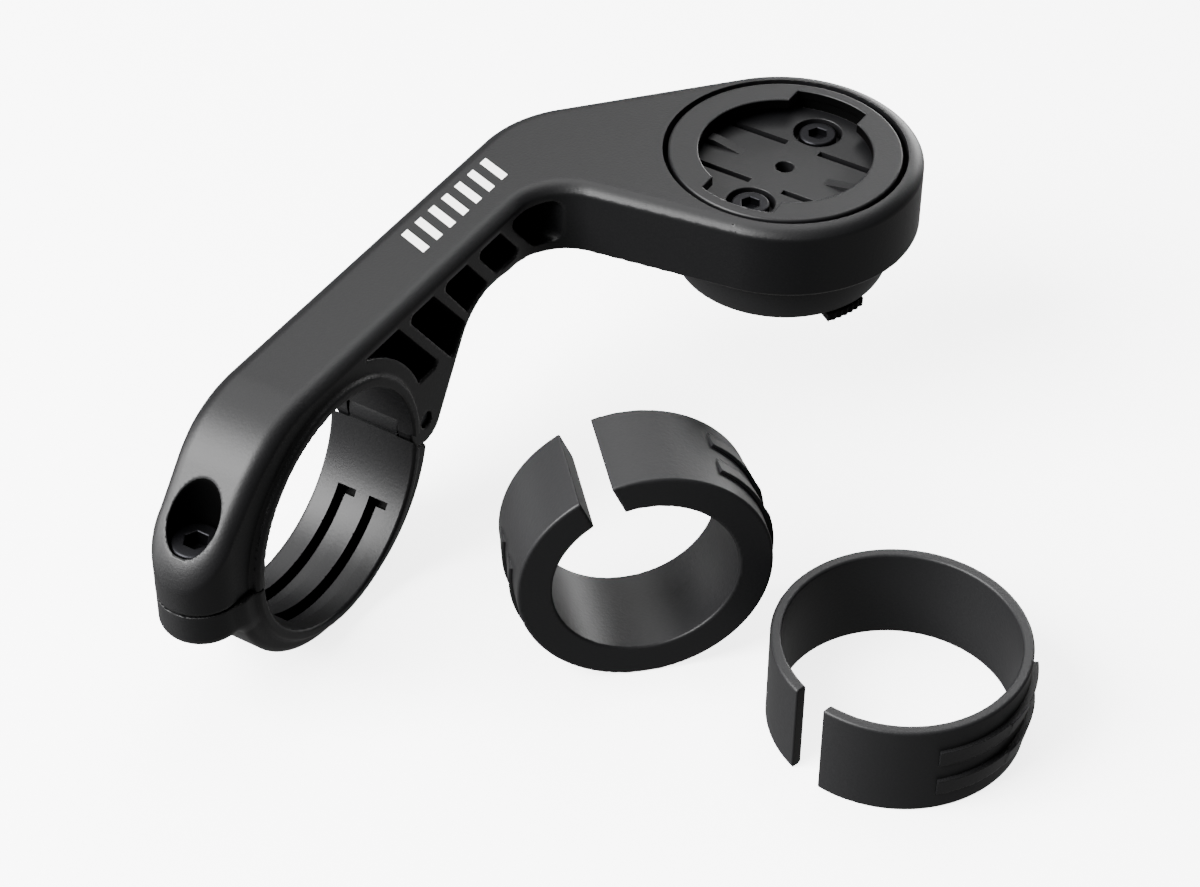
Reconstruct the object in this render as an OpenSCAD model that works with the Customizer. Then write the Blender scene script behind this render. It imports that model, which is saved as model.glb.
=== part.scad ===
// Extended out-front handlebar mount for a cycling computer, with two bar reducers.
// Origin: centre of the clamp's bore. +X points forward along the arm, +Y lies along the
// handlebar, +Z points up out of the computer socket. Millimetres.

/* [Clamp] */
// Diameter of the clamp's bore, for the largest handlebar
bore_d = 35; // [28:0.2:44]
// Width of the clamp across its raised collars
clamp_w = 14.4; // [12:0.2:18]
// Wall between the top of the bore and the top of the arm
upper_wall = 4.85; // [4:0.05:8]
// Wall of the lower jaw under the bore
jaw_wall = 2.8; // [2:0.1:5]
// Radial width of the raised collars round the bore
collar_wall = 1.6; // [1:0.1:2]
// Gap between the two jaws where they are screwed together
split_gap = 0.3; // [0.1:0.05:1]

/* [Hinge] */
// Outer radius of the hinge cheeks
hinge_r = 3.9; // [3.4:0.1:5]
// Radius of the hinge pin
hinge_pin_r = 1.25; // [0.9:0.05:1.6]
// Width of the lower jaw's knuckle
knuckle_w = 8; // [6:0.2:8.6]
// Clearance all round the moving knuckle
hinge_gap = 0.25; // [0.15:0.05:0.5]

/* [Clamp screw] */
// Radius of the upright screw boss behind the bore
boss_r = 5.9; // [5.2:0.1:7.5]
// Distance from the bore's wall to the screw's axis
boss_offset = 4.5; // [4:0.1:7]
// Depth of the lower jaw's boss under the split
boss_drop = 6; // [5.6:0.1:9]
// Radius of the deep well for the screw's head
well_r = 3.6; // [3.5:0.05:4.2]
// Height of the washer's seat above the bore's centre
seat_z = 3.4; // [3:0.1:6]
// Radius of the clamp screw's shank
screw_r = 2; // [1.5:0.1:2.2]
// Length of the clamp screw under its head
screw_len = 8.8; // [7:0.1:9.4]

/* [Arm] */
// Width of the arm
arm_w = 12.8; // [10:0.2:14]
// Forward distance from the bore's centre to the head's centre
head_x = 76.6; // [70:0.5:110]
// Sideways distance from the clamp's middle to the head's centre
head_y = 31.9; // [28:0.5:45]
// Angle that the arm's outer side turns through at the elbow
outer_turn = 42; // [38:1:50]
// Angle that the arm's inner side turns through at the elbow
inner_turn = 81; // [75:1:88]
// Radius of the elbow on its outer side
outer_bend_r = 18; // [10:1:24]
// Radius of the elbow on its inner side
inner_bend_r = 8; // [5:0.5:11]
// Slope of the back of the clamp, from the horizontal
back_slope = 47; // [42:1:55]
// Radius that joins the back to the top
back_r = 17; // [10:0.5:18]
// Slope of the arm's underside in front of the hinge
front_slope = 58; // [50:1:66]

/* [Pockets] */
// Depth of the coring pockets in the arm's inner side
pocket_depth = 9.2; // [4:0.2:9.6]
// Distance from one rib to the next
rib_pitch = 8.4; // [7:0.1:9]
// Thickness of each slanting rib
rib_t = 1.8; // [1.2:0.1:2.6]
// Slant of the ribs, from the horizontal
rib_slant = 52; // [45:1:60]
// Wall left under the arm's top
pocket_top_wall = 2.3; // [1.6:0.1:3]
// Wall left along the arm's underside
pocket_rim = 1.1; // [0.8:0.1:2]
// Wall left round the bore
pocket_bore_wall = 3.9; // [3:0.1:5]

/* [Head] */
// Outer radius of the round head
head_r = 19.9; // [19:0.1:24]
// Height of the head's side wall
head_h = 11; // [10.4:0.1:16]
// Depth of the pocket that holds the receptacle
tray_depth = 6.4; // [6:0.1:8]
// Gap all round the receptacle
groove_w = 0.8; // [0.3:0.05:1.2]

/* [Computer socket] */
// Outer radius of the receptacle
socket_r = 16.8; // [16:0.1:18]
// Radius of the socket's mouth
mouth_r = 12.5; // [12:0.1:13]
// Depth from the rim to the socket's floor
floor_depth = 3; // [2.6:0.1:3.4]
// Thickness of the lip that holds the computer's tabs
lip_t = 1.5; // [1.2:0.1:1.8]
// Outer radius of the two entry notches
notch_r = 15.1; // [14:0.1:15.4]
// Width of the entry notches
notch_w = 11.2; // [9:0.1:12]
// Distance of each fixing screw from the centre
fixing_x = 10; // [9.5:0.1:10.4]
// Width of the sprung tongues
tongue_w = 9.8; // [8:0.1:10.4]
// Thickness of the sprung tongues
tongue_t = 1.2; // [0.8:0.1:1.4]
// Width of the slots beside the tongues
slot_w = 1.1; // [0.6:0.1:1.4]
// Height of the click ridges
ridge_h = 0.9; // [0.5:0.1:1.2]

/* [Under mount] */
// Height of the puck under the head
puck_h = 8; // [7:0.1:12]
// Radius of the puck at its top
puck_top_r = 17.3; // [15:0.1:18.5]
// Radius of the puck at its foot
puck_foot_r = 14.7; // [14:0.1:16]
// Thickness of the flange under the puck
flange_t = 1.3; // [1:0.1:2]
// Radius over the flange's two lugs
lug_r = 15.5; // [15:0.1:17]

/* [Reducers] */
// Inner diameter of the thin reducer, for an oversize bar
thin_bore_d = 31.8; // [26:0.2:33]
// Inner diameter of the thick reducer, for a standard bar
thick_bore_d = 25.4; // [20:0.2:28]
// Width of the slit through each reducer
slit_w = 4.6; // [2:0.2:6]
// Height of the keying ribs on the reducers
key_h = 0.9; // [0.5:0.1:1.1]

/* [Hidden] */
$fn = 96;
e = 0.01;

bore_r = bore_d / 2;
top_z = bore_r + upper_wall;
half_w = arm_w / 2;
hinge_x = bore_r + hinge_r + 0.1;
boss_x = -(bore_r + boss_offset);
back_x = boss_x - boss_r;
floor_z = -(bore_r + jaw_wall);

boss_taper = 8;
back_foot_z = 5.7;
washer_t = 0.8;
clamp_head_h = 4;
clamp_head_r = 3.4;
clamp_head_z = seat_z + washer_t;
clamp_insert_r = 3.1;
clamp_insert_z = -split_gap - 0.6;
thread_gap = 0.2;

head_bottom_z = top_z - head_h;
tray_z = top_z - tray_depth;
socket_floor_z = top_z - floor_depth;
undercut_r = notch_r + 0.1;
hub_y = 2.6;
fixing_seat_z = socket_floor_z - 2;
fixing_head_r = 2.75;
fixing_r = 1.5;
fixing_hole_r = 1.65;
fixing_well_r = 3.5;
fixing_foot = 2.4;
fixing_head_h = 1.9;
puck_z = head_bottom_z - puck_h;
insert_r = 2.3;
insert_len = 5;
flange_z = puck_z - flange_t;
flange_r = 12.4;
flange_head_r = 2.6;
lug_turn = -111;
centre_hole_r = 1.35;

reducer_gap = 0.05;
reducer_r = bore_r - reducer_gap;
reducer_w = clamp_w;
key_w = 2.8;
key_groove = 0.15;
key_pitch = 5.3;
key_shift = -0.45;
key_start = 60.5;
key_arc = 75;
key_slack = 3;
// The thin reducer lies clear of the thick one at any bore size.
thin_at = [23.6, -80.2 - 2 * (bore_r - 17.5)];
thin_turn = 164;
thick_at = [17.9, -42.5];
thick_turn = -137;
thick_slit = 203.7;

// Points of a closed outline whose corners [x, y, r] are rounded to their own radii.
function unit(v) = v / norm(v);
function corner_arc(a, b, c, n = 14) =
    let (u = unit([a[0] - b[0], a[1] - b[1]]), v = unit([c[0] - b[0], c[1] - b[1]]),
         half = acos(max(-1, min(1, u * v))) / 2, r = b[2],
         mid = [b[0], b[1]] + unit(u + v) * r / sin(half),
         s = [b[0], b[1]] + u * r / tan(half), t = [b[0], b[1]] + v * r / tan(half),
         s_ang = atan2(s[1] - mid[1], s[0] - mid[0]),
         t_raw = atan2(t[1] - mid[1], t[0] - mid[0]),
         swing = (t_raw - s_ang + 540) % 360 - 180)
    [for (i = [0:n]) mid + r * [cos(s_ang + swing * i / n), sin(s_ang + swing * i / n)]];
function rounded(p) = [for (i = [0:len(p) - 1])
    let (a = p[(i + len(p) - 1) % len(p)], b = p[i], c = p[(i + 1) % len(p)])
    each (b[2] > 0 ? corner_arc(a, b, c) : [[b[0], b[1]]])];

// An outline drawn in X and Z, made thick along Y from y0 to y1.
module side_slab(y0, y1) {
    translate([0, y1, 0]) rotate([90, 0, 0]) linear_extrude(y1 - y0) children();
}
// A rod along Y, between y0 and y1, at x and z.
module cross_rod(r, x, z, y0, y1) {
    translate([x, y0, z]) rotate([-90, 0, 0]) cylinder(r = r, h = y1 - y0);
}
// Puts its children in the head's own axes.
module at_head() { translate([head_x, -head_y, 0]) children(); }
module at_fixing(side) { at_head() translate([side * fixing_x, 0, 0]) children(); }

// ---- Arm: upper jaw, straight arm, elbow and head in one moulding ----

// Where the two sides of the neck meet the straight arm's sides.
function side_meet(n, y) = (n[0] * head_x - n[1] * head_y + head_r - n[1] * y) / n[0];
outer_n = [sin(outer_turn), cos(outer_turn)];
inner_n = [-sin(inner_turn), -cos(inner_turn)];

module plan_outline() {
    outer_x = side_meet(outer_n, half_w);
    inner_x = side_meet(inner_n, -half_w);
    head = [head_x, -head_y];
    outer_t = head + head_r * outer_n;
    inner_t = head + head_r * inner_n;
    polygon(rounded([
        [boss_x, boss_r, 0], [boss_x + boss_taper, half_w, 0],
        [outer_x, half_w, outer_bend_r], [outer_t[0], outer_t[1], 0],
        [head[0], head[1], 0], [inner_t[0], inner_t[1], 0],
        [inner_x, -half_w, inner_bend_r],
        [boss_x + boss_taper, -half_w, 0], [boss_x, -boss_r, 0]]));
    translate(head) circle(head_r);
    translate([boss_x, 0]) circle(boss_r);
}

back_top_x = back_x + (top_z - back_foot_z) / tan(back_slope);
under_mid_z = head_bottom_z + 1.5;
under_start = [hinge_x + hinge_r * sin(front_slope), -hinge_r * cos(front_slope)];

module side_outline(rim = 0) {
    mid_z = under_mid_z + rim;
    end_z = head_bottom_z + rim;
    start = under_start + rim * [-sin(front_slope), cos(front_slope)];
    meet_x = start[0] + (mid_z - start[1]) / tan(front_slope);
    polygon(rounded([
        [back_x, 0, 0], [back_x, back_foot_z, 1.5], [back_top_x, top_z, back_r],
        [head_x + head_r + 1, top_z, 0], [head_x + head_r + 1, end_z, 0],
        [50, end_z, 0], [meet_x, mid_z, 9], [start[0], start[1], 0], [hinge_x, 0, 0]]));
}

rib_first_x = 16.9;
pocket_top_z = top_z - pocket_top_wall;
pocket_foot_z = 7.6;
pocket_end_x = 51.6;

// One pocket between slanting ribs; the last one runs on into the elbow.
module pocket_window(i) {
    run = (pocket_top_z + 12) / tan(rib_slant);
    rib_run = rib_t / sin(rib_slant);
    x0 = rib_first_x + (i - 1) * rib_pitch + (i > 0 ? rib_run / 2 : 0);
    x1 = i == 4 ? pocket_end_x : rib_first_x + i * rib_pitch - rib_run / 2;
    left_run = i == 0 ? 0 : run;
    right_run = i == 4 ? 0 : run;
    polygon([[x0, pocket_top_z], [x1, pocket_top_z], [x1 + right_run, -12], [x0 + left_run, -12]]);
}

module pocket_outline(i) {
    // The corners are rounded by shrinking, then growing again.
    offset(r = 0.9, $fn = 24) offset(delta = -0.9) difference() {
        intersection() {
            pocket_window(i);
            side_outline(rim = pocket_rim);
            translate([0, pocket_foot_z - (i == 0 ? 0 : 20)]) square([200, 60]);
        }
        circle(bore_r + pocket_bore_wall);
    }
}

// Two grooves in the bore's wall, for the reducers' ribs; side is 1 for the upper jaw, -1 for the lower.
module jaw_grooves(side) {
    from = 180 - key_start - key_arc - key_slack;
    to = 180 - key_start + key_slack;
    intersection() {
        for (s = [-1, 1]) let (y = key_shift + s * key_pitch / 2)
            cross_rod(bore_r + key_h + key_groove, 0, 0, y - key_w / 2 - key_groove, y + key_w / 2 + key_groove);
        side_slab(-10, 10) scale([1, side])
            polygon([[0, 0], for (a = [from, (from + to) / 2, to]) 60 * [cos(a), sin(a)]]);
    }
}

module arm() {
    color("#2b2c2e") difference() {
        union() {
            intersection() {
                translate([0, 0, -40]) linear_extrude(40 + top_z) plan_outline();
                side_slab(-head_y - head_r - 1, half_w + 1) side_outline();
            }
            intersection() {
                at_head() translate([0, 0, head_bottom_z]) cylinder(r = head_r, h = head_h);
                translate([0, -100, 0]) cube([200, 200, top_z]);
            }
            cross_rod(hinge_r, hinge_x, 0, -half_w, half_w);
            // Raised collars on both faces of the clamp.
            intersection() {
                cross_rod(bore_r + collar_wall, 0, 0, -clamp_w / 2, clamp_w / 2);
                translate([-40, -10, 0]) cube([80, 20, 40]);
            }
        }
        cross_rod(bore_r, 0, 0, -clamp_w, clamp_w);
        jaw_grooves(1);
        // Slot for the knuckle, and the pin's hole through both cheeks.
        cross_rod(hinge_r + hinge_gap, hinge_x, 0, -knuckle_w / 2 - hinge_gap, knuckle_w / 2 + hinge_gap);
        cross_rod(hinge_pin_r, hinge_x, 0, -half_w - 1, half_w + 1);
        // Well and clearance hole for the clamp screw.
        translate([boss_x, 0, seat_z]) cylinder(r = well_r, h = 40);
        translate([boss_x, 0, -1]) cylinder(r = screw_r + thread_gap, h = 20);
        // Coring pockets.
        for (i = [0:4]) side_slab(-half_w - 8, pocket_depth - half_w) pocket_outline(i);
        // Tray for the receptacle, and the two fixing holes.
        at_head() translate([0, 0, tray_z]) cylinder(r = socket_r + groove_w, h = 20);
        for (s = [-1, 1]) at_fixing(s) cylinder(r = fixing_hole_r, h = 40);
    }
}

// ---- Lower jaw, hinge pin and clamp screw ----

module jaw_outline() {
    difference() {
        union() {
            translate([2.2, 0]) circle(-floor_z - 0.05);
            translate([-1.5, 0]) circle(-floor_z);
        }
        translate([-50, -split_gap]) square([100, 50]);
    }
}

module lower_jaw() {
    cheek_y = knuckle_w / 2;
    color("#26272a") difference() {
        union() {
            difference() {
                union() {
                    side_slab(-half_w, half_w) jaw_outline();
                    intersection() {
                        cross_rod(bore_r + collar_wall, 0, 0, -clamp_w / 2, clamp_w / 2);
                        translate([-40, -10, -40 - split_gap]) cube([80, 20, 40]);
                    }
                    translate([boss_x, 0, -boss_drop]) cylinder(r = boss_r, h = boss_drop - split_gap);
                    translate([boss_x, -boss_r, -boss_drop]) cube([boss_offset + 2, 2 * boss_r, boss_drop - split_gap]);
                }
                // Socket round the upper jaw's cheeks, open to the front.
                cross_rod(hinge_r + hinge_gap, hinge_x, 0, -clamp_w, clamp_w);
                translate([hinge_x - 0.8, -clamp_w, -hinge_r - 1]) cube([10, 2 * clamp_w, 10]);
            }
            cross_rod(hinge_r - 0.1, hinge_x, 0, -cheek_y, cheek_y);
            intersection() {
                side_slab(-cheek_y, cheek_y) jaw_outline();
                translate([hinge_x - 6, -cheek_y, -7]) cube([5.5, knuckle_w, 6]);
            }
        }
        cross_rod(bore_r, 0, 0, -clamp_w, clamp_w);
        jaw_grooves(-1);
        cross_rod(hinge_pin_r + 0.05, hinge_x, 0, -half_w, half_w);
        translate([boss_x, 0, -boss_drop - 1]) cylinder(r = clamp_insert_r, h = boss_drop + 1 + clamp_insert_z);
        translate([boss_x, 0, -1]) cylinder(r = screw_r + thread_gap, h = 2);
    }
}

module hinge_pin() {
    color("#8d9094") cross_rod(hinge_pin_r, hinge_x, 0, -half_w + 0.6, half_w - 0.6);
}

// Six-sided key socket, cut into a head whose top is at z.
module hex_socket(z, across_flats, depth) {
    translate([0, 0, z - depth]) cylinder(d = across_flats / cos(30), h = depth + 1, $fn = 6);
}

module clamp_screw() {
    color("#55575a") translate([boss_x, 0, 0]) difference() {
        union() {
            translate([0, 0, clamp_head_z]) cylinder(r = clamp_head_r, h = clamp_head_h);
            translate([0, 0, clamp_head_z - screw_len]) cylinder(r = screw_r, h = screw_len + e);
        }
        hex_socket(clamp_head_z + clamp_head_h, 3, 2.2);
    }
}

module clamp_washer() {
    color("#7d8084") translate([boss_x, 0, seat_z]) difference() {
        cylinder(r = well_r - 0.1, h = washer_t);
        translate([0, 0, -1]) cylinder(r = screw_r + 0.05, h = washer_t + 2);
    }
}

module clamp_insert() {
    color("#b08d4c") translate([boss_x, 0, -boss_drop + 0.3]) difference() {
        cylinder(r = clamp_insert_r, h = boss_drop - 0.3 + clamp_insert_z);
        translate([0, 0, -1]) cylinder(r = screw_r + thread_gap, h = boss_drop + 2);
    }
}

// ---- Receptacle for the computer ----

module in_tongue_band(side, w, z0, z1, r) {
    intersection() {
        translate([0, 0, z0]) cylinder(r = r, h = z1 - z0);
        translate([-w / 2, side > 0 ? hub_y : -40, z0 - 1]) cube([w, 40 - hub_y, z1 - z0 + 2]);
    }
}

module receptacle() {
    flex_z = socket_floor_z - tongue_t;
    color("#333437") at_head() difference() {
        translate([0, 0, tray_z]) cylinder(r = socket_r, h = tray_depth);
        translate([0, 0, socket_floor_z]) cylinder(r = mouth_r, h = 10);
        translate([0, 0, socket_floor_z]) cylinder(r = undercut_r, h = floor_depth - lip_t);
        intersection() {
            translate([0, 0, socket_floor_z]) cylinder(r = notch_r, h = 10);
            translate([-20, -notch_w / 2, 0]) cube([40, notch_w, 50]);
        }
        for (side = [-1, 1])
            in_tongue_band(side, tongue_w + 2 * slot_w, tray_z + 1, socket_floor_z + e, undercut_r);
        for (side = [-1, 1]) translate([side * fixing_x, 0, 0]) {
            translate([0, 0, fixing_seat_z]) cylinder(r = fixing_well_r, h = 10);
            cylinder(r = fixing_hole_r, h = 40);
        }
        translate([0, 0, tray_z + 1]) cylinder(r = centre_hole_r, h = 10);
    }
}

// A tongue reaches from the hub to the wall, with a click ridge that rises outwards.
module tongue(side) {
    color("#333437") at_head() {
        in_tongue_band(side, tongue_w, socket_floor_z - tongue_t, socket_floor_z, undercut_r - 0.3);
        mirror([0, side > 0 ? 0 : 1, 0]) translate([-0.8, 0, socket_floor_z - e])
            rotate([90, 0, 90]) linear_extrude(1.6)
                polygon([[6.6, 0], [11.4, ridge_h], [12.6, ridge_h], [13.2, 0]]);
    }
}
module tongue_far() { tongue(1); }
module tongue_near() { tongue(-1); }

module socket_screw(side) {
    foot_z = puck_z + fixing_foot;
    color("#5d6064") at_fixing(side) difference() {
        union() {
            translate([0, 0, fixing_seat_z]) cylinder(r = fixing_head_r, h = fixing_head_h);
            translate([0, 0, foot_z]) cylinder(r = fixing_r, h = fixing_seat_z - foot_z + e);
        }
        hex_socket(fixing_seat_z + fixing_head_h, 2.5, 1.2);
    }
}
module socket_screw_rear() { socket_screw(-1); }
module socket_screw_front() { socket_screw(1); }

// ---- Under mount ----

module stack_insert(side) {
    color("#b08d4c") at_fixing(side) translate([0, 0, puck_z]) difference() {
        cylinder(r = insert_r, h = insert_len);
        translate([0, 0, -1]) cylinder(r = fixing_r, h = insert_len + 2);
    }
}
module stack_insert_rear() { stack_insert(-1); }
module stack_insert_front() { stack_insert(1); }

module under_puck() {
    color("#303134") difference() {
        at_head() translate([0, 0, puck_z]) cylinder(r1 = puck_foot_r, r2 = puck_top_r, h = puck_h);
        for (s = [-1, 1]) at_fixing(s) {
            translate([0, 0, puck_z - 1]) cylinder(r = insert_r, h = insert_len + 1);
            cylinder(r = fixing_hole_r, h = 40);
        }
    }
}

module under_flange() {
    color("#1d1e20") difference() {
        at_head() translate([0, 0, flange_z]) {
            cylinder(r = flange_r, h = flange_t);
            for (a = [lug_turn, lug_turn + 180]) rotate(a) intersection() {
                cylinder(r = lug_r, h = flange_t);
                rotate(15) translate([0, -40, -1]) cube([40, 40, 9]);
                rotate(-15) translate([0, 0, -1]) cube([40, 40, 9]);
            }
        }
        for (s = [-1, 1]) at_fixing(s) {
            translate([0, 0, flange_z - 2]) cylinder(r = fixing_hole_r, h = 9);
            translate([0, 0, flange_z - 1]) cylinder(r = flange_head_r + 0.05, h = 1.9);
        }
    }
}

module flange_screw(side) {
    color("#5d6064") at_fixing(side) difference() {
        union() {
            translate([0, 0, flange_z + 0.1]) cylinder(r = flange_head_r, h = 0.8);
            translate([0, 0, flange_z + 0.9 - e]) cylinder(r = fixing_r, h = flange_t + 1);
        }
        translate([0, 0, flange_z - 1]) cylinder(d = 2 / cos(30), h = 1.7, $fn = 6);
    }
}
module flange_screw_rear() { flange_screw(-1); }
module flange_screw_front() { flange_screw(1); }

// ---- Reducers ----

// A split ring standing on the plane z = 0, with two pairs of keying ribs.
module reducer(inner_d, slit_at) {
    difference() {
        union() {
            cylinder(r = reducer_r, h = reducer_w);
            for (side = [-1, 1], dz = [-1, 1]) let (mid = slit_at + side * (key_start + key_arc / 2))
                translate([0, 0, reducer_w / 2 + key_shift + dz * key_pitch / 2 - key_w / 2])
                    intersection() {
                        cylinder(r = reducer_r + key_h, h = key_w);
                        rotate(mid + key_arc / 2) translate([0, -50, -1]) cube([50, 50, key_w + 2]);
                        rotate(mid - key_arc / 2) translate([0, 0, -1]) cube([50, 50, key_w + 2]);
                    }
        }
        translate([0, 0, -1]) cylinder(d = inner_d, h = reducer_w + 2);
        rotate(slit_at) translate([0, -slit_w / 2, -1]) cube([50, slit_w, reducer_w + 2]);
    }
}

module reducer_thin() {
    color("#2c2d2f") translate([thin_at[0], thin_at[1], floor_z]) reducer(thin_bore_d, thin_turn);
}

module reducer_thick() {
    color("#2c2d2f") translate([thick_at[0], thick_at[1], floor_z + reducer_r])
        rotate([0, 90, thick_turn]) translate([0, 0, -reducer_w / 2]) reducer(thick_bore_d, thick_slit);
}

arm();
lower_jaw();
hinge_pin();
clamp_screw();
clamp_washer();
clamp_insert();
receptacle();
tongue_far();
tongue_near();
socket_screw_rear();
socket_screw_front();
stack_insert_rear();
stack_insert_front();
under_puck();
under_flange();
flange_screw_rear();
flange_screw_front();
reducer_thin();
reducer_thick();
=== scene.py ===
import bpy
import numpy as np
from mathutils import Matrix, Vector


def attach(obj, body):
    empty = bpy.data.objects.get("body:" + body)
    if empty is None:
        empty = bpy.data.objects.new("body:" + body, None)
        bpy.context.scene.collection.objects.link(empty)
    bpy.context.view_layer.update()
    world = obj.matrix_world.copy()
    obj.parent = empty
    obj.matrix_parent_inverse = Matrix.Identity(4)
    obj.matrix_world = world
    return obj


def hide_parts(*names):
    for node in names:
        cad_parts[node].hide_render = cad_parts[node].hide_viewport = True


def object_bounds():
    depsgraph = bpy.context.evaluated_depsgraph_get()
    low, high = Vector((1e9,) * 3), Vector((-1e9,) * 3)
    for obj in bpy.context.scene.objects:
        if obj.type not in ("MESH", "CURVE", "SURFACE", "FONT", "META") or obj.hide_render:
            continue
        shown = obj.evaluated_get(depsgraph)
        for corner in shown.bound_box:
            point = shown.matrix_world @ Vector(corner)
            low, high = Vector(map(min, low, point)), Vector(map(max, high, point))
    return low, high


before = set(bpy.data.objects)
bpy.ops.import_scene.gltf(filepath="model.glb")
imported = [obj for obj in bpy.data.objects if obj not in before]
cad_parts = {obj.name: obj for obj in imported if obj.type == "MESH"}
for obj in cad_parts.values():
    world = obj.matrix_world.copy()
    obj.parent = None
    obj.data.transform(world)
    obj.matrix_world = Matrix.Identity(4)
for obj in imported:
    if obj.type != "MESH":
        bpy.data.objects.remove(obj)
cad_box = [[float(v) for v in corner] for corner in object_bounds()]

# ---------------------------------------------------------------------------
# View: the camera stands behind and above the clamp and looks along the arm.
# ---------------------------------------------------------------------------
camera_at = np.array([-0.24949, -0.19796, 0.28330])
camera_right = np.array([0.52195, -0.85294, 0.00786])
camera_down = np.array([-0.55610, -0.34726, -0.75510])
camera_ahead = np.cross(camera_right, camera_down)

camera_data = bpy.data.cameras.new("camera")
camera_data.sensor_width = 36.0
camera_data.lens = 93.82
camera_data.clip_start = 0.01
camera = bpy.data.objects.new("camera", camera_data)
bpy.context.scene.collection.objects.link(camera)
turn = np.eye(4)
turn[:3, 0] = camera_right
turn[:3, 1] = -camera_down
turn[:3, 2] = -camera_ahead
turn[:3, 3] = camera_at
camera.matrix_world = Matrix(turn.tolist())
bpy.context.scene.camera = camera

# ---------------------------------------------------------------------------
# Stage: a plain pale floor, a large key lamp above and behind the clamp, a
# weaker one over the head, a low lamp on each side and an even pale sky. The
# floor throws no light back up, and a dim card under it is all that the object
# mirrors of it, so the black sides stay dark and only their rims catch light.
# ---------------------------------------------------------------------------
floor_z = cad_box[0][2]
sheet_half = 6.0
card_drop = 0.01


def sheet(name, height, base, roughness, specular, glow):
    """A level square sheet at one height in metres, glowing evenly in white; base is its grey."""
    mesh = bpy.data.meshes.new(name)
    mesh.from_pydata([(-sheet_half, -sheet_half, height), (sheet_half, -sheet_half, height),
                      (sheet_half, sheet_half, height), (-sheet_half, sheet_half, height)], [], [(0, 1, 2, 3)])
    material = bpy.data.materials.new(name)
    material.use_nodes = True
    inputs = material.node_tree.nodes["Principled BSDF"].inputs
    inputs["Base Color"].default_value = (base, base, base, 1)
    inputs["Roughness"].default_value = roughness
    inputs["Specular IOR Level"].default_value = specular
    inputs["Emission Color"].default_value = (1, 1, 1, 1)
    inputs["Emission Strength"].default_value = glow
    mesh.materials.append(material)
    obj = bpy.data.objects.new(name, mesh)
    bpy.context.scene.collection.objects.link(obj)
    return obj


floor = sheet("floor", floor_z, 0.9, 0.9, 0.1, 4.0)
floor.visible_diffuse = floor.visible_glossy = False
card = sheet("card", floor_z - card_drop, 0.0, 0.5, 0.5, 0.4)
card.visible_camera = card.visible_diffuse = card.visible_shadow = False


def lamp(name, at, aim, size, watts):
    """A square soft lamp at one point, turned towards another; metres."""
    data = bpy.data.lights.new(name, "AREA")
    data.size = size
    data.energy = watts
    obj = bpy.data.objects.new(name, data)
    bpy.context.scene.collection.objects.link(obj)
    back = np.array(at, float) - np.array(aim, float)
    back /= np.linalg.norm(back)
    side = np.cross([0.0, 0.0, 1.0], back)
    side /= np.linalg.norm(side)
    turn = np.eye(4)
    turn[:3, 0], turn[:3, 1], turn[:3, 2], turn[:3, 3] = side, np.cross(back, side), back, at
    obj.matrix_world = Matrix(turn.tolist())
    return obj


key_lamp = lamp("key lamp", (-0.52, 0.37, 0.58), (0.0, -0.03, 0.0), 0.65, 50)
top_lamp = lamp("top lamp", (0.32, 0.20, 0.72), (0.05, -0.03, 0.0), 0.70, 9)
left_lamp = lamp("left lamp", (-0.30, 0.66, 0.12), (0.0, -0.03, 0.0), 0.35, 6)
right_lamp = lamp("right lamp", (0.85, 0.05, 0.10), (0.05, -0.03, 0.0), 0.40, 8)
sky = bpy.data.worlds.new("sky")
sky.use_nodes = True
background = sky.node_tree.nodes["Background"].inputs
background["Color"].default_value = (1, 1, 1, 1)
background["Strength"].default_value = 0.2
bpy.context.scene.world = sky

# ---------------------------------------------------------------------------
# Arm: the upper jaw of the clamp, the straight cored arm, the sideways elbow
# and the round head, moulded in one piece of black glass-filled nylon. It is
# the piece that everything else is fixed to.
# ---------------------------------------------------------------------------
MM = 0.001  # shapes are worked out in millimetres and scaled when the mesh is made


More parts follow.
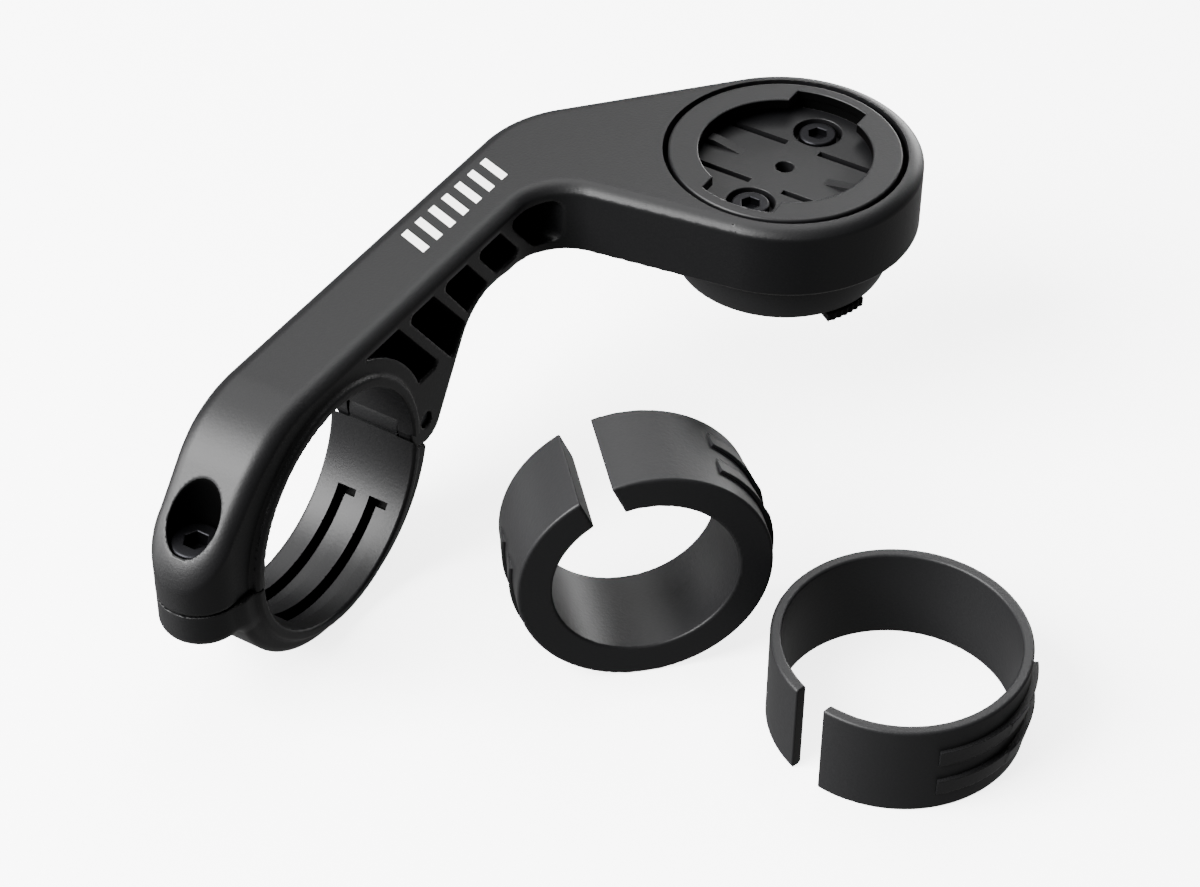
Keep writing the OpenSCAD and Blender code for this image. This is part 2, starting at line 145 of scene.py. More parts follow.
def outline(corners):
    """Makes a function of (u, v) that gives the distance in mm to a closed outline, negative inside.

    corners are (u, v, radius) in order. The distance is the least of those to the straight sides left
    between the rounded corners and to the corners' arcs. A point is inside if a line drawn from it
    crosses the sides and the arcs' chords an odd number of times, and that answer is turned round
    between an arc and its chord.
    """
    point = np.array(corners, float)
    corner, radius = point[:, :2], point[:, 2:]
    back = np.roll(corner, 1, 0) - corner
    ahead = np.roll(corner, -1, 0) - corner
    back /= np.linalg.norm(back, axis=1, keepdims=True)
    ahead /= np.linalg.norm(ahead, axis=1, keepdims=True)
    half = np.arccos(np.clip((back * ahead).sum(1, keepdims=True), -1, 1)) / 2
    start, end = corner + back * radius / np.tan(half), corner + ahead * radius / np.tan(half)
    inward = (back + ahead) / np.maximum(np.linalg.norm(back + ahead, axis=1, keepdims=True), 1e-12)
    centre = corner + inward * radius / np.sin(half)

    def distance(u, v):
        least = np.full(np.broadcast(u, v).shape, 1e9)
        inside = np.zeros(least.shape, bool)
        for k in range(len(corner)):
            sides = [(end[k], start[(k + 1) % len(corner)], True)]
            if radius[k, 0] > 0:
                sides.append((start[k], end[k], False))
                du, dv = u - centre[k, 0], v - centre[k, 1]
                far = np.hypot(du, dv)
                along = -(du * inward[k, 0] + dv * inward[k, 1])
                chord = radius[k, 0] * np.sin(half[k, 0])
                on_arc = along * radius[k, 0] >= far * chord
                least = np.minimum(least, np.where(on_arc, np.abs(far - radius[k, 0]), 1e9))
                inside = inside ^ ((far < radius[k, 0]) & (along > chord))
            for a, b, real in sides:
                e = b - a
                if real:
                    share = np.clip(((u - a[0]) * e[0] + (v - a[1]) * e[1]) / max(e @ e, 1e-12), 0, 1)
                    least = np.minimum(least, np.hypot(u - a[0] - share * e[0], v - a[1] - share * e[1]))
                if a[1] != b[1]:
                    inside = inside ^ (((a[1] > v) != (b[1] > v)) & (u < a[0] + (v - a[1]) * e[0] / e[1]))
        return np.where(inside, -least, least)

    return distance


def both(a, b, r=0.0):
    """Distance to what two shapes share, with its edge rounded to the radius r."""
    if r == 0:
        return np.maximum(a, b)
    return np.minimum(-r, np.maximum(a, b)) + np.hypot(np.maximum(r + a, 0), np.maximum(r + b, 0))


def either(a, b, r=0.0):
    """Distance to two shapes together, with the corner between them filled to the radius r."""
    return -both(-a, -b, r)


def skin(field, low, high, step):
    """Points, four-sided faces and a normal for each face's corner, of the surface where field is zero.

    field(x, y, z) is the distance in mm, negative inside. Each cell of a grid that the surface passes
    through gets one point, where the tangent planes at the surface's crossings of the cell's edges
    meet best. Each crossed edge gets one face between the four cells round it. A corner's normal is
    the field's slope there, read from inside the face so that sharp edges stay sharp.
    """
    lines = [np.arange(a, b + step, step) for a, b in zip(low, high)]
    shape = tuple(len(line) for line in lines)
    grid = np.ascontiguousarray(np.broadcast_to(
        field(lines[0][:, None, None], lines[1][None, :, None], lines[2][None, None, :]), shape))
    inside = grid < 0
    count = sum(inside[i:shape[0] - 1 + i, j:shape[1] - 1 + j, k:shape[2] - 1 + k].astype(np.int8)
                for i in (0, 1) for j in (0, 1) for k in (0, 1))
    mixed = (count > 0) & (count < 8)
    number = np.full(mixed.shape, -1)
    number[mixed] = np.arange(mixed.sum())
    low = np.array([line[0] for line in lines])

    def slope(p):
        h = 0.002
        here = field(p[:, 0], p[:, 1], p[:, 2])
        g = np.stack([field(p[:, 0] + h * (i == 0), p[:, 1] + h * (i == 1), p[:, 2] + h * (i == 2)) - here
                      for i in range(3)], 1)
        return here, g / np.maximum(np.linalg.norm(g, axis=1, keepdims=True), 1e-9)

    faces, crossings, cells = [], [], []
    for axis in range(3):
        u, w = (axis + 1) % 3, (axis + 2) % 3
        first = np.take(inside, range(shape[axis] - 1), axis)
        second = np.take(inside, range(1, shape[axis]), axis)
        at = np.argwhere(first != second)
        away = np.zeros(3, int)
        away[axis] = 1
        v0, v1 = grid[tuple(at.T)], grid[tuple((at + away).T)]
        crossings.append(low + step * (at + (v0 / (v0 - v1))[:, None] * away))
        around = []
        for du, dw in ((0, 0), (1, 0), (1, 1), (0, 1)):
            cell = at.copy()
            cell[:, u] -= du
            cell[:, w] -= dw
            around.append(number[tuple(cell.T)])
        around = np.stack(around, 1)
        cells.append(around)
        leaving = first[tuple(at.T)]
        faces.append(np.where(leaving[:, None], around, around[:, ::-1]))
    crossing, cell, face = np.vstack(crossings), np.vstack(cells), np.vstack(faces)
    value, normal = slope(crossing)
    crossing = crossing - normal * value[:, None]
    middle = low + step * (np.argwhere(mixed) + 0.5)
    total = len(middle)
    flat = cell.ravel()

    def gathered(amount):
        return np.bincount(flat, np.repeat(amount, 4), total)

    hits = gathered(np.ones(len(crossing)))
    mean = np.stack([gathered(crossing[:, i]) for i in range(3)], 1) / hits[:, None]
    product = np.empty((total, 3, 3))
    for i in range(3):
        for j in range(i, 3):
            product[:, i, j] = product[:, j, i] = gathered(normal[:, i] * normal[:, j])
    plane = (crossing * normal).sum(1)
    pull = np.stack([gathered(plane * normal[:, i]) for i in range(3)], 1)
    pull -= np.einsum("nij,nj->ni", product, mean)
    product += np.eye(3) * 0.04
    point = mean + np.linalg.solve(product, pull[:, :, None])[:, :, 0]
    point = np.clip(point, middle - 0.6 * step, middle + 0.6 * step)

    heart = point[face].mean(1)
    _, heart_normal = slope(heart)
    near = 0.62 * point[face] + 0.38 * heart[:, None, :]
    _, near_normal = slope(near.reshape(-1, 3))
    shade = heart_normal[:, None, :] + (near_normal.reshape(-1, 4, 3) - heart_normal[:, None, :]) / 0.62
    shade /= np.maximum(np.linalg.norm(shade, axis=2, keepdims=True), 1e-9)
    return point, face, shade


def made(name, skins, body, stands_for, material):
    """Makes one object from skins, gives it its body and material, and hides the CAD parts that it stands for.

    A skin's points can stand a few hundredths of a millimetre past a flat face, so each coordinate is
    held to the range that the CAD model's box gives it.
    """
    points, faces, shades, first = [], [], [], 0
    for point, face, shade in skins:
        points.append(point)
        faces.append(face + first)
        shades.append(shade.reshape(-1, 3))
        first += len(point)
    point, face = np.clip(np.vstack(points) * MM, cad_box[0], cad_box[1]), np.vstack(faces)
    mesh = bpy.data.meshes.new(name)
    mesh.vertices.add(len(point))
    mesh.vertices.foreach_set("co", point.astype(np.float32).ravel())
    mesh.loops.add(face.size)
    mesh.loops.foreach_set("vertex_index", face.astype(np.int32).ravel())
    mesh.polygons.add(len(face))
    mesh.polygons.foreach_set("loop_start", np.arange(0, face.size, 4, dtype=np.int32))
    mesh.polygons.foreach_set("use_smooth", np.ones(len(face), bool))
    mesh.update(calc_edges=True)
    mesh.validate()
    mesh.normals_split_custom_set(np.vstack(shades))
    mesh.materials.append(material)
    obj = bpy.data.objects.new(name, mesh)
    bpy.context.scene.collection.objects.link(obj)
    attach(obj, body)
    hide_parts(*stands_for)
    return obj


def linear(colour):
    """Linear red, green, blue and alpha from an sRGB hex colour."""
    part = np.array([int(colour[i:i + 2], 16) for i in (1, 3, 5)]) / 255
    part = np.where(part <= 0.04045, part / 12.92, ((part + 0.055) / 1.055) ** 2.4)
    return (*part.tolist(), 1.0)


def node(material, kind, inputs=(), **settings):
    """Adds a shader node; inputs pairs socket names or numbers with values or other nodes' outputs."""
    added = material.node_tree.nodes.new(kind)
    for key, value in settings.items():
        setattr(added, key, value)
    for socket, value in dict(inputs).items():
        if isinstance(value, bpy.types.NodeSocket):
            material.node_tree.links.new(value, added.inputs[socket])
        else:
            added.inputs[socket].default_value = value
    return added


def plastic(name, colour, roughness, grain_mm, grain_depth, specular=0.5):
    """Moulded black plastic: an even colour under a fine eroded texture of the given grain size."""
    material = bpy.data.materials.new(name)
    material.use_nodes = True
    shader = material.node_tree.nodes["Principled BSDF"]
    shader.inputs["Base Color"].default_value = linear(colour)
    shader.inputs["Roughness"].default_value = roughness
    shader.inputs["Specular IOR Level"].default_value = specular
    where = node(material, "ShaderNodeTexCoord").outputs["Object"]
    grain = node(material, "ShaderNodeTexNoise", {"Vector": where, "Scale": 1 / (grain_mm * MM), "Detail": 2.0})
    bump = node(material, "ShaderNodeBump", {
        "Height": grain.outputs["Fac"], "Strength": 1.0, "Distance": grain_depth * MM})
    material.node_tree.links.new(bump.outputs["Normal"], shader.inputs["Normal"])
    return material


bore_r = 17.5
top_z = 22.35
half_w = 6.4
head_x, head_y, head_r = 76.6, -31.9, 19.9
head_foot_z = 11.35
hinge_x, hinge_r = 21.5, 3.9
boss_x, boss_r = -22.0, 5.9
collar_y, collar_r = 7.2, 19.1
collar_edge, collar_fillet = 0.55, 0.6
tray_r, tray_z = 17.6, 15.95
crown_edge, crease_edge, belly_edge = 2.6, 0.15, 0.45
pocket_floor_y, pocket_edge = 2.8, 0.4
knuckle_slot_r, knuckle_slot_half = 4.35, 4.25
pin_hole_r, screw_hole_r, clamp_hole_r = 1.3, 1.65, 2.2
well_r, well_floor_z = 3.6, 3.4
fixing_out = 10
key_middle, key_half, key_depth = (2.2, -3.1), 1.55, 1.05

arm_plan = outline([
    (-27.9, -5.9, 5.85), (-21.5, -5.9, 8), (-13, -6.4, 8), (52.41, -6.4, 8), (56.94, -35.0, 0),
    (head_x, head_y, 0), (89.92, -17.11, 0), (63.81, 6.4, 18), (-13, 6.4, 8), (-21.5, 5.9, 8), (-27.9, 5.9, 5.85)])
arm_crown = outline([(-107.8, -80, 0), (150, -80, 0), (150, top_z, 0), (-12.37, top_z, 18)])
arm_belly = outline([
    (-60, 0, 0), (hinge_x, 0, 0), (24.81, -2.07, 0), (34.1, 12.85, 9), (50, 11.35, 20),
    (150, 11.35, 0), (150, 60, 0), (-60, 60, 0)])
arm_pockets = [outline(corners) for corners in (
    [(7.4, 20.1, 0.5), (15.9, 20.1, 0.9), (25.5, 7.5, 0.9), (19.0, 7.5, 0.7)],
    [(17.9, 20.1, 0.9), (24.3, 20.1, 0.9), (31.9, 10.4, 0.9), (28.4, 6.2, 0.7)],
    [(26.3, 20.1, 0.9), (32.6, 20.1, 0.9), (37.5, 13.7, 0.9), (36.0, 11.9, 0.9), (32.6, 11.5, 0.7)],
    [(34.8, 20.1, 0.9), (41.0, 20.1, 0.9), (45.6, 14.3, 0.9), (44.5, 13.1, 0.9), (40.2, 13.1, 0.9)],
    [(43.2, 20.1, 0.9), (52.2, 20.1, 1.6), (52.2, 12.6, 2.2), (49.1, 12.5, 0.9)])]


def key_bands(x, y, z, side):
    """Distance to the two shallow grooves round the bore; side is 1 above the split and -1 below it."""
    angle = np.degrees(np.arctan2(z * side, x))
    ends = (np.abs(angle - 82) - 41) * 0.3
    ring = np.hypot(x, z) - bore_r - key_depth
    band = np.minimum(np.abs(y - key_middle[0]), np.abs(y - key_middle[1])) - key_half
    return both(both(ring, band), ends)


def arm_field(x, y, z):
    plan = both(arm_plan(x, y), np.full_like(x * y, -99.0))
    plan = np.minimum(plan, np.hypot(x - head_x, y - head_y) - head_r)
    crown, belly = arm_crown(x, z), arm_belly(x, z)
    hinge = np.hypot(x - hinge_x, z) - hinge_r
    belly = np.minimum(belly, np.maximum(hinge, z - 5))
    shape = both(plan - 0.35, crown, crown_edge)
    shape = both(both(shape, plan, crease_edge), belly, belly_edge)
    bore = np.hypot(x, z)
    collar = both(both(bore - collar_r, np.abs(y) - collar_y, collar_edge), -z)
    shape = either(shape, collar, collar_fillet)
    shape = both(shape, bore_r - bore, 0.35)
    shape = both(shape, -key_bands(x, y, z, 1))
    for k, pocket in enumerate(arm_pockets):
        hole = pocket(x, z)
        hole = both(hole, belly + (1.5 if k > 2 else 0.9), 0.5)
        if k == 0:
            hole = both(hole, 21.4 - bore, pocket_edge)
        shape = both(shape, -both(hole, y - pocket_floor_y, pocket_edge), 0.2)
    pin = np.hypot(x - hinge_x, z)
    shape = both(shape, -both(pin - knuckle_slot_r, np.abs(y) - knuckle_slot_half))
    shape = both(shape, pin_hole_r - pin, 0.15)
    well = np.hypot(x - boss_x, y)
    shape = both(shape, -both(well - well_r, well_floor_z - z), 0.35)
    shape = both(shape, clamp_hole_r - well)
    tray = np.hypot(x - head_x, y - head_y)
    shape = both(shape, -both(tray - tray_r, tray_z - z))
    for side in (-1, 1):
        shape = both(shape, screw_hole_r - np.hypot(x - head_x - fixing_out * side, y - head_y))
    return shape


def painted_recess_shade(material, centre, squash, near, far, foot, top, half=200):
    """Paints shade into a recess: turns faces near black, with almost no specular reflection, where their
    distance in mm from an axis and their height lie in given ranges, and their y is within half of 0.
    The axis passes through centre; squash is 0 along it and 1 across it."""
    shader = material.node_tree.nodes["Principled BSDF"]
    place = node(material, "ShaderNodeTexCoord").outputs["Object"]
    middle = [v * MM for v in centre]
    off = node(material, "ShaderNodeVectorMath", {0: place, 1: middle}, operation="SUBTRACT").outputs[0]
    off = node(material, "ShaderNodeVectorMath", {0: off, 1: squash}, operation="MULTIPLY").outputs[0]
    out = node(material, "ShaderNodeVectorMath", {0: off}, operation="LENGTH").outputs["Value"]
    side = node(material, "ShaderNodeSeparateXYZ", {0: place}).outputs
    shade_mask = None
    for value, low, high in ((out, near, far), (side["Z"], foot, top), (side["Y"], -half, half)):
        over = node(material, "ShaderNodeMath", {0: value, 1: low * MM}, operation="GREATER_THAN").outputs[0]
        under = node(material, "ShaderNodeMath", {0: value, 1: high * MM}, operation="LESS_THAN").outputs[0]
        part = node(material, "ShaderNodeMath", {0: over, 1: under}, operation="MULTIPLY").outputs[0]
        shade_mask = part if shade_mask is None else node(
            material, "ShaderNodeMath", {0: shade_mask, 1: part}, operation="MULTIPLY").outputs[0]
    # The painted shade itself: a near-black colour and almost no specular, mixed in where the mask is one.
    for name, kind, slots, painted_dark in (("Base Color", "RGBA", (6, 7, 2), linear("#020202")),
                                    ("Specular IOR Level", "FLOAT", (2, 3, 0), 0.02)):
        socket = shader.inputs[name]
        before = socket.links[0].from_socket if socket.is_linked else socket.default_value
        before = before[:] if hasattr(before, "foreach_get") else before
        mixed = node(material, "ShaderNodeMix", {0: shade_mask, slots[0]: before, slots[1]: painted_dark}, data_type=kind)
        material.node_tree.links.new(mixed.outputs[slots[2]], socket)


bar_lean, bar_pitch, bar_width = 0.35, 3.3, 1.5


def print_bars(material):
    """White printed bars along the arm's top: a bar is where the leaning distance along the arm, taken
    modulo the pitch, is under the bar's width, inside a rectangle and above the crease."""
    shader = material.node_tree.nodes["Principled BSDF"]
    where = node(material, "ShaderNodeTexCoord").outputs["Object"]
    place = node(material, "ShaderNodeSeparateXYZ", {0: where}).outputs
    lean = node(material, "ShaderNodeMath", {0: place["Y"], 1: -bar_lean, 2: place["X"]},
                operation="MULTIPLY_ADD").outputs[0]
    along = node(material, "ShaderNodeMath", {0: lean, 1: bar_pitch * MM}, operation="MODULO").outputs[0]
    bar = node(material, "ShaderNodeMath", {0: along, 1: bar_width * MM}, operation="LESS_THAN").outputs[0]
    for value, low, high in ((lean, 29.6, 52.7), (place["Y"], -1.5, 3.3), (place["Z"], 22.0, 30.0)):
        over = node(material, "ShaderNodeMath", {0: value, 1: low * MM}, operation="GREATER_THAN").outputs[0]
        under = node(material, "ShaderNodeMath", {0: value, 1: high * MM}, operation="LESS_THAN").outputs[0]
        bar = node(material, "ShaderNodeMath", {0: bar, 1: over}, operation="MULTIPLY").outputs[0]
        bar = node(material, "ShaderNodeMath", {0: bar, 1: under}, operation="MULTIPLY").outputs[0]
    plain = shader.inputs["Base Color"].default_value[:]
    paint = node(material, "ShaderNodeMix", {0: bar, 6: plain, 7: linear("#f4f4f2")}, data_type="RGBA")
    material.node_tree.links.new(paint.outputs[2], shader.inputs["Base Color"])


# Glass-filled nylon: nearly black, so that a broad soft highlight does most of the shaping; the mould's fine
# spark-eroded texture breaks it up. Its grain is taken as about 0.1 mm and is drawn at 0.4 mm so that it shows.
black_nylon = plastic("black nylon", "#060607", 0.46, 0.4, 0.02, 0.25)
arm_nylon = plastic("printed black nylon", "#060607", 0.46, 0.4, 0.02, 0.25)
print_bars(arm_nylon)
# The screw's well and the slots beside the grooves are too deep and narrow to give light back. These large
# lamps would still reach their walls, so painted shade darkens the walls where they lie.
painted_recess_shade(arm_nylon, (boss_x, 0, 0), (1, 1, 0), 3.0, 3.7, 3.0, 30)
painted_recess_shade(black_nylon, (0, 0, 0), (1, 0, 1), 18.7, 19.8, -30, -5, 4.9)
arm = made("arm_moulding", [skin(arm_field, (-29.13, -52.9, -5.17), (98, 8.4, 23.4), 0.4)],
           "mount", ["arm"], arm_nylon)

# ---------------------------------------------------------------------------
# Lower jaw: the hinged half of the clamp, in the same nylon. Its knuckle turns
# on the pin between the arm's cheeks, and its boss takes the clamp screw.
# ---------------------------------------------------------------------------
jaw_foot = -6.0
jaw_split = -0.3
jaw_clear_r = 4.15
knuckle_r, knuckle_half = 3.85, 4
slot_depth = 2.2


def jaw_trench(x, y, z):
    """Distance to the deeper slot that runs along each groove's far wall and across its upper end."""
    angle = np.degrees(np.arctan2(-z, x))
    ring = np.hypot(x, z) - bore_r - slot_depth
    slots = []
    for middle in key_middle:
        wall = both(np.abs(y - middle - key_half + 0.45) - 0.5, (np.abs(angle - 80) - 42.4) * 0.3)
        slots += [wall, both(np.abs(y - middle) - key_half + 0.05, (np.abs(angle - 39.6) - 2.0) * 0.3)]
    return both(ring, np.minimum(np.minimum(slots[0], slots[1]), np.minimum(slots[2], slots[3])))


def jaw_field(x, y, z):
    hoop = np.minimum(np.hypot(x - 2.2, z) - 20.25, np.hypot(x + 1.5, z) - 20.3)
    shape = both(hoop, np.abs(y) - half_w + 0 * x, 1.1)
    boss = both(np.hypot(x - boss_x, y) - boss_r, jaw_foot - z, 1.8)
    web = both(both(np.abs(y) - boss_r + 0 * x, np.abs(x - boss_x - 4) - 4), jaw_foot - z, 1.8)
    shape = either(shape, np.minimum(boss, web), 1.5)
    bore = np.hypot(x, z)
    shape = either(shape, both(bore - collar_r, np.abs(y) - collar_y, collar_edge), collar_fillet)
    shape = both(shape, bore_r - bore, 0.5)
    shape = both(shape, z - jaw_split, 0.1)
    pin = np.hypot(x - hinge_x, z)
    shape = both(shape, jaw_clear_r - pin)
    shape = both(shape, -both(20.7 - x, -4.9 - z))
    knuckle = both(pin - knuckle_r, np.abs(y) - knuckle_half)
    neck = both(both(hoop, np.abs(y) - knuckle_half + 0 * x), np.maximum(np.abs(x - 18.3) - 2.7, np.abs(z + 4) - 3))
    shape = np.minimum(shape, np.minimum(knuckle, neck))
    shape = both(shape, bore_r - bore)
    shape = both(shape, -key_bands(x, y, z, -1))
    shape = both(shape, -jaw_trench(x, y, z))
    shape = both(shape, pin_hole_r - pin)
    screw = np.hypot(x - boss_x, y)
    shape = both(shape, -both(screw - 3.1, z + 0.9))
    return both(shape, clamp_hole_r - screw)


jaw = made("jaw_moulding", [skin(jaw_field, (-29, -8.2, -21.3), (27, 8.2, 4.6), 0.33)],
           "jaw", ["lower_jaw"], black_nylon)

# ---------------------------------------------------------------------------
# Clamp fixings: the pin that the jaw turns on, and the cap screw in its deep
# well with a washer under its head. The jaw's brass insert takes its thread.
# ---------------------------------------------------------------------------
def metal(name, colour, roughness):
    """Metal of one colour with a faint uneven sheen."""
    material = bpy.data.materials.new(name)
    material.use_nodes = True
    shader = material.node_tree.nodes["Principled BSDF"]
    shader.inputs["Base Color"].default_value = linear(colour)
    shader.inputs["Metallic"].default_value = 1.0
    where = node(material, "ShaderNodeTexCoord").outputs["Object"]
    noise = node(material, "ShaderNodeTexNoise", {"Vector": where, "Scale": 1 / (0.6 * MM), "Detail": 2.0})
    sheen = node(material, "ShaderNodeMapRange", {
        "Value": noise.outputs["Fac"], "To Min": roughness - 0.06, "To Max": roughness + 0.08})
    material.node_tree.links.new(sheen.outputs["Result"], shader.inputs["Roughness"])
    return material


def hex_hole(x, y, across):
    """Distance to an upright six-sided hole about the origin; across is its size over the flats."""
    turned = [np.abs(x * np.cos(a) + y * np.sin(a)) for a in np.radians([0, 60, 120])]
    return np.maximum(np.maximum(turned[0], turned[1]), turned[2]) - across / 2


def cap_screw(x, y, head_r, head_foot, head_top, across, depth, shank_r, shank_foot):
    """Field of an upright screw at x, y with a round-edged head and a hex socket."""
    def field(px, py, pz):
        out = np.hypot(px - x, py - y)
        shape = both(both(out - head_r, pz - head_top, 0.35), head_foot - pz, 0.1)
        shape = both(shape, -both(hex_hole(px - x, py - y, across), head_top - depth - pz), 0.12)
        return np.minimum(shape, both(both(out - shank_r, shank_foot - pz, 0.25), pz - head_foot - 0.1))
    return field


# Black-oxide steel for the screws is dark with a soft metal glint on the hex's edges. The pin's and the
# washer's plain steel is lighter. Brass gives the inserts their yellow. The sheen's 0.6 mm patches are
# handling marks; the real ones are finer.
dark_steel = metal("black oxide steel", "#1d1d1f", 0.42)
pin_steel = metal("pin steel", "#4a4b4d", 0.45)
washer_steel = metal("washer steel", "#5c5d60", 0.4)
brass = metal("brass", "#b08d4c", 0.35)

clamp_seat_z = 4.2
clamp_shape = cap_screw(boss_x, 0, head_r=3.4, head_foot=clamp_seat_z, head_top=8.2, across=3.0, depth=2.2,
                        shank_r=2.0, shank_foot=-4.6)
clamp_screw = made("clamp_cap_screw", [skin(clamp_shape, (-25.8, -3.8, -5), (-18.2, 3.8, 8.6), 0.17)],
                   "clamp_bolt", ["clamp_screw"], dark_steel)


washer_r, washer_hole_r = 3.5, 2.05


def washer_field(x, y, z):
    out = np.hypot(x - boss_x, y)
    return both(both(both(out - washer_r, z - clamp_seat_z, 0.1), well_floor_z - z, 0.1), washer_hole_r - out)


washer = made("clamp_washer_ring", [skin(washer_field, (-25.8, -3.8, 3), (-18.2, 3.8, 4.6), 0.2)],
              "screw_carriage", ["clamp_washer"], washer_steel)


pin_r, pin_half = 1.25, 5.8


def pin_field(x, y, z):
    return both(np.hypot(x - hinge_x, z) - pin_r, np.abs(y) - pin_half, 0.2)


pin = made("hinge_pin_rod", [skin(pin_field, (20, -6.2, -1.6), (23.1, 6.2, 1.6), 0.2)],
           "mount", ["hinge_pin"], pin_steel)

# ---------------------------------------------------------------------------
# Computer socket: a round receptacle let into the head, with a lipped mouth
# and two entry notches, two sprung tongues that click under the computer, and
# the two screws that hold it and the under mount to the head.
# ---------------------------------------------------------------------------
socket_floor = 19.35
socket_r, mouth_r = 16.8, 12.5
notch_r, notch_half = 15.1, 5.6
undercut_r, undercut_half = 15.2, 0.75
gap_half, gap_start = 6.0, 2.6
gap_z, gap_half_z = 17.6, 1.9
fixing_well_r, fixing_seat_z = 3.5, 17.35
centre_hole_r = 1.35
# Acetal: a little smoother and greyer than the arm, with the same soft highlight; its grain of about
# 0.1 mm is drawn at 0.4 mm. The walls under the lip get painted shade, as the screw's well does.
socket_nylon = plastic("socket acetal", "#080809", 0.45, 0.4, 0.012, 0.24)

# Painted shade on the mouth's wall under the lip, and on the walls of the undercut and the notches.
painted_recess_shade(socket_nylon, (head_x, head_y, 0), (1, 1, 0), 12.3, 12.62, 19.4, 22.2)
painted_recess_shade(socket_nylon, (head_x, head_y, 0), (1, 1, 0), 15.0, 15.3, 19.4, 22.2)


def socket_field(x, y, z):
    x, y = x - head_x, y - head_y
    out = np.hypot(x, y)
    shape = both(both(out - socket_r, z - top_z, 0.35), tray_z - z)
    mouth = both(out - mouth_r, socket_floor - z)
    notch = both(both(out - notch_r, np.abs(y) - notch_half + 0 * x), socket_floor - z)
    shape = both(shape, -np.minimum(mouth, notch), 0.2)
    under_lip = np.abs(z - socket_floor - undercut_half) - undercut_half
    shape = both(shape, -both(out - undercut_r, under_lip))
    beside_tongue = both(np.abs(x) - gap_half + 0 * y, gap_start - np.abs(y))
    shape = both(shape, -both(beside_tongue, both(out - undercut_r, np.abs(z - gap_z) - gap_half_z)))
    for side in (-1, 1):
        fixing = np.hypot(x - fixing_out * side, y)
        shape = both(shape, -both(fixing - fixing_well_r, fixing_seat_z - z), 0.15)
        shape = both(shape, screw_hole_r - fixing)
    return both(shape, centre_hole_r - out, 0.1)


receptacle = made("socket_ring", [skin(socket_field, (59.5, -49, 15.7), (93.7, -14.8, 22.7), 0.21)],
                  "mount", ["receptacle"], socket_nylon)


tongue_half, tongue_root, tongue_end = 4.9, 2.2, 14.9
strip_z, strip_half = 18.75, 0.6
ridge_start, ridge_end, ridge_half = 6.6, 13.0, 0.8
ridge_h, ridge_slope = 0.9, 0.1875


def tongue_field(side):
    """Field of one tongue: a flat strip with a click ridge that rises outwards along its middle."""
    def field(x, y, z):
        x, y = x - head_x, (y - head_y) * side
        strip = both(both(np.abs(x) - tongue_half + 0 * y, tongue_root - y),
                     both(np.hypot(x, y) - tongue_end, np.abs(z - strip_z) - strip_half), 0.06)
        slope = (z - socket_floor) - (y - ridge_start) * ridge_slope
        ridge = both(both(np.abs(x) - ridge_half, slope), both(z - socket_floor - ridge_h, y - ridge_end, 0.2), 0.1)
        ridge = both(ridge, np.maximum(ridge_start - y, socket_floor - 0.2 - z))
        return np.minimum(strip, ridge)
    return field


for side, name, body in ((1, "tongue_far", "far_tongue"), (-1, "tongue_near", "near_tongue")):
    at_y = sorted((head_y + side * 2.0, head_y + side * 15.5))
    made(name + "_strip", [skin(tongue_field(side), (71.2, at_y[0], 17.8), (82, at_y[1], 20.7), 0.18)],
         body, [name], socket_nylon)

for side, name in ((-1, "socket_screw_rear"), (1, "socket_screw_front")):
    x = head_x + fixing_out * side
    shape = cap_screw(x, head_y, head_r=2.75, head_foot=fixing_seat_z, head_top=19.25, across=2.5, depth=1.2,
                      shank_r=1.5, shank_foot=5.75)
    made(name + "_cap", [skin(shape, (x - 3.1, head_y - 3.1, 5.4), (x + 3.1, head_y + 3.1, 19.6), 0.16)],
         "mount", [name], dark_steel)

# ---------------------------------------------------------------------------
# Under mount: a tapered puck and a thin flange with two twist lugs, screwed
# under the head for a light or camera adapter. Inserts in the puck are brass.
# ---------------------------------------------------------------------------
# The puck's nylon is a shade greyer than the arm's, which sets the cone off from the head above it. The
# flange's is the deepest black here, with almost no highlight. Both grains are drawn coarser than life.
puck_nylon = plastic("puck nylon", "#121213", 0.5, 0.4, 0.012, 0.22)
flange_nylon = plastic("flange nylon", "#060606", 0.5, 0.3, 0.01, 0.05)


puck_foot_z, puck_h = 3.35, 8
puck_foot_r, puck_spread = 14.9, 2.4
insert_r, insert_top_z = 2.3, 8.35
flange_r, lug_r, lug_turn, lug_half = 12.4, 15.3, 111, 13
flange_z, flange_half = 2.7, 0.65
flange_head_r, flange_seat_z = 2.65, 2.95


def puck_field(x, y, z):
    x, y = x - head_x, y - head_y
    out = np.hypot(x, y)
    cone = (out - puck_foot_r - puck_spread * np.clip((z - puck_foot_z) / puck_h, 0, 1) ** 0.6) * 0.9
    shape = both(both(cone, puck_foot_z - z, 0.9), z - head_foot_z)
    for side in (-1, 1):
        fixing = np.hypot(x - fixing_out * side, y)
        shape = both(shape, -np.minimum(fixing - screw_hole_r, both(fixing - insert_r, z - insert_top_z)))
    return shape


made("puck", [skin(puck_field, (58.8, -49.7, 3), (94.4, -14.1, 11.8), 0.4)],
     "mount", ["under_puck"], puck_nylon)


def flange_field(x, y, z):
    x, y = x - head_x, y - head_y
    out, angle = np.hypot(x, y), np.degrees(np.arctan2(y, x))
    from_lug = np.abs((angle + lug_turn + 90) % 180 - 90)
    knurl = 0.1 * np.cos(np.radians(angle * 90))
    lug = both(out - lug_r - knurl, (from_lug - lug_half) * 0.25)
    shape = both(np.minimum(out - flange_r, lug), np.abs(z - flange_z) - flange_half, 0.15)
    for side in (-1, 1):
        fixing = np.hypot(x - fixing_out * side, y)
        shape = both(shape, -np.minimum(fixing - screw_hole_r, both(fixing - flange_head_r, z - flange_seat_z)))
    return shape


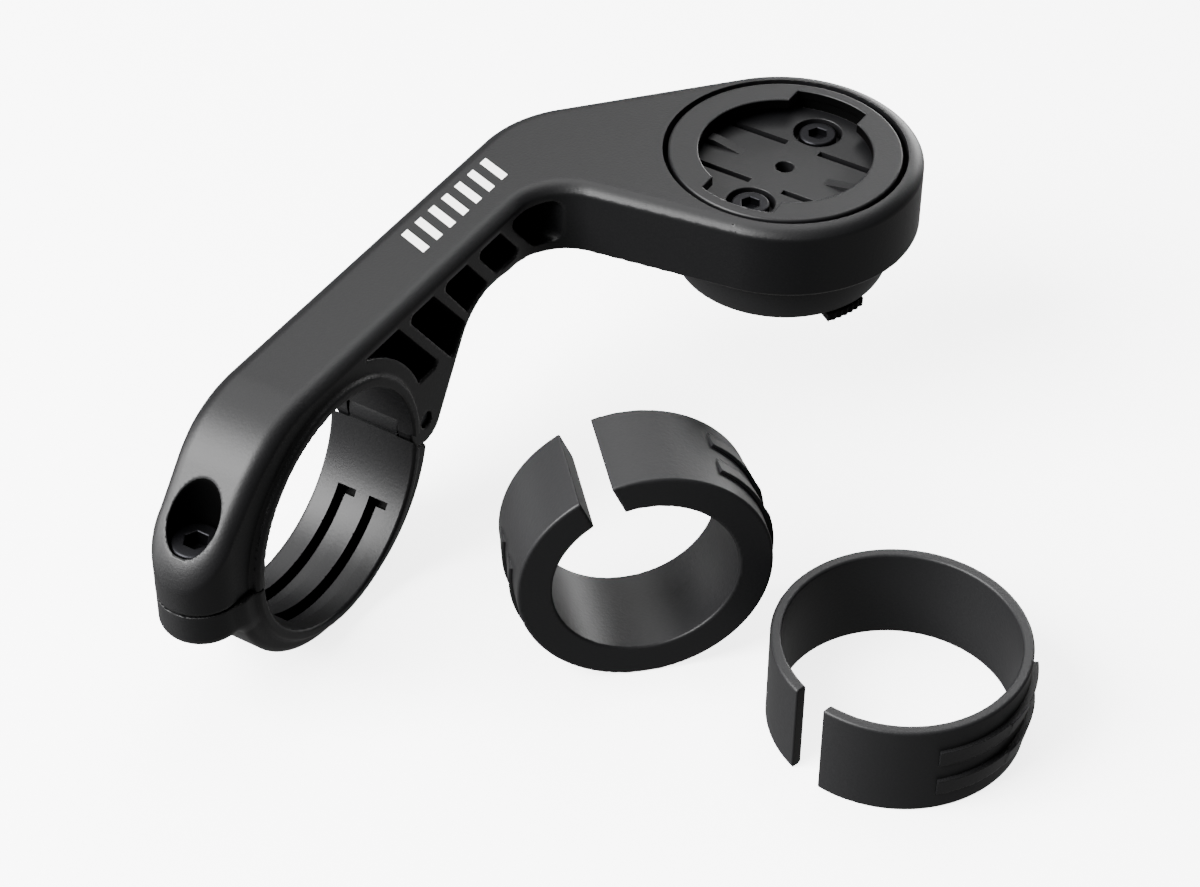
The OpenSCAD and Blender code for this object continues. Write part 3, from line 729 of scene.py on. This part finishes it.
made("flange", [skin(flange_field, (60.4, -48.1, 1.7), (92.8, -15.7, 3.7), 0.22)],
     "mount", ["under_flange"], flange_nylon)
for name in ("flange_screw_rear", "flange_screw_front", "stack_insert_rear", "stack_insert_front", "clamp_insert"):
    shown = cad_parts[name]
    shown.data.materials.clear()
    shown.data.materials.append(dark_steel if name.startswith("flange") else brass)

# ---------------------------------------------------------------------------
# Reducers: two split rings of softer black nylon that line the clamp for
# thinner bars. Two ribs on each side key into the clamp's grooves. The thin
# ring lies flat and the thick one stands on its rim.
# ---------------------------------------------------------------------------
# Unfilled nylon: semi-matt and slightly grey, so the rings' faces stay readable on the side away from the
# light. Its grain is taken as about 0.15 mm and is drawn at 0.5 mm so that it shows.
ring_nylon = plastic("reducer nylon", "#121213", 0.48, 0.5, 0.02, 0.24)
ring_r, ring_half = 17.45, 7.2
rib_tops, rib_width, rib_lean = (3.6, -1.7), 2.8, 0.2
rib_start, rib_middle, rib_half, rib_step = 60.5, 98, 37.5, 96
slit_half = 2.3
thin_at, thin_turn, thin_bore_r = (23.6, -80.2), 164, 15.9
thick_at, thick_slit, thick_turn, thick_bore_r = (17.9, -42.5), 113.7, -137, 12.7
rest_z = -20.3


def ring_field(inner_r, slit_at):
    """Field of a split ring about the z axis; slit_at is the slit's direction in degrees."""
    c, s = np.cos(np.radians(slit_at)), np.sin(np.radians(slit_at))

    def field(x, y, z):
        out = np.hypot(x, y)
        along, across = x * c + y * s, y * c - x * s
        turned = np.degrees(np.abs(np.arctan2(across, along)))
        ends = (np.abs(turned - rib_middle) - rib_half) * 0.3
        shape = both(both(out - ring_r, inner_r - out, 0.3), np.abs(z) - ring_half, 0.4)
        for top in rib_tops:
            high = np.where(turned > rib_step, 0.9, 0.5 + 0.2 * np.clip((turned - rib_start) / 35, 0, 1))
            rise = ring_r + high * (1 - rib_lean * np.clip(top - z, 0, 3))
            rib = both(both(out - rise, both(z - top, top - rib_width - z), 0.12), ends)
            shape = np.minimum(shape, both(rib, ring_r - 1 - out))
        return both(shape, -both(np.abs(across) - slit_half, -along), 0.25)
    return field


box = (-18.6, -18.6, -7.6), (18.6, 18.6, 7.6)
point, face, shade = skin(ring_field(thin_bore_r, thin_turn), *box, 0.3)
point = point + (*thin_at, rest_z + ring_half)
made("thin_reducer_ring", [(point, face, shade)], "thin_ring", ["reducer_thin"], ring_nylon)

point, face, shade = skin(ring_field(thick_bore_r, thick_slit), *box, 0.33)
c, s = np.cos(np.radians(thick_turn)), np.sin(np.radians(thick_turn))
stand = np.array([[-s, c, 0], [0, 0, 1], [c, s, 0]])
point = point @ stand + (*thick_at, rest_z + ring_r)
made("thick_reducer_ring", [(point, face, shade @ stand)],
     "thick_ring", ["reducer_thick"], ring_nylon)
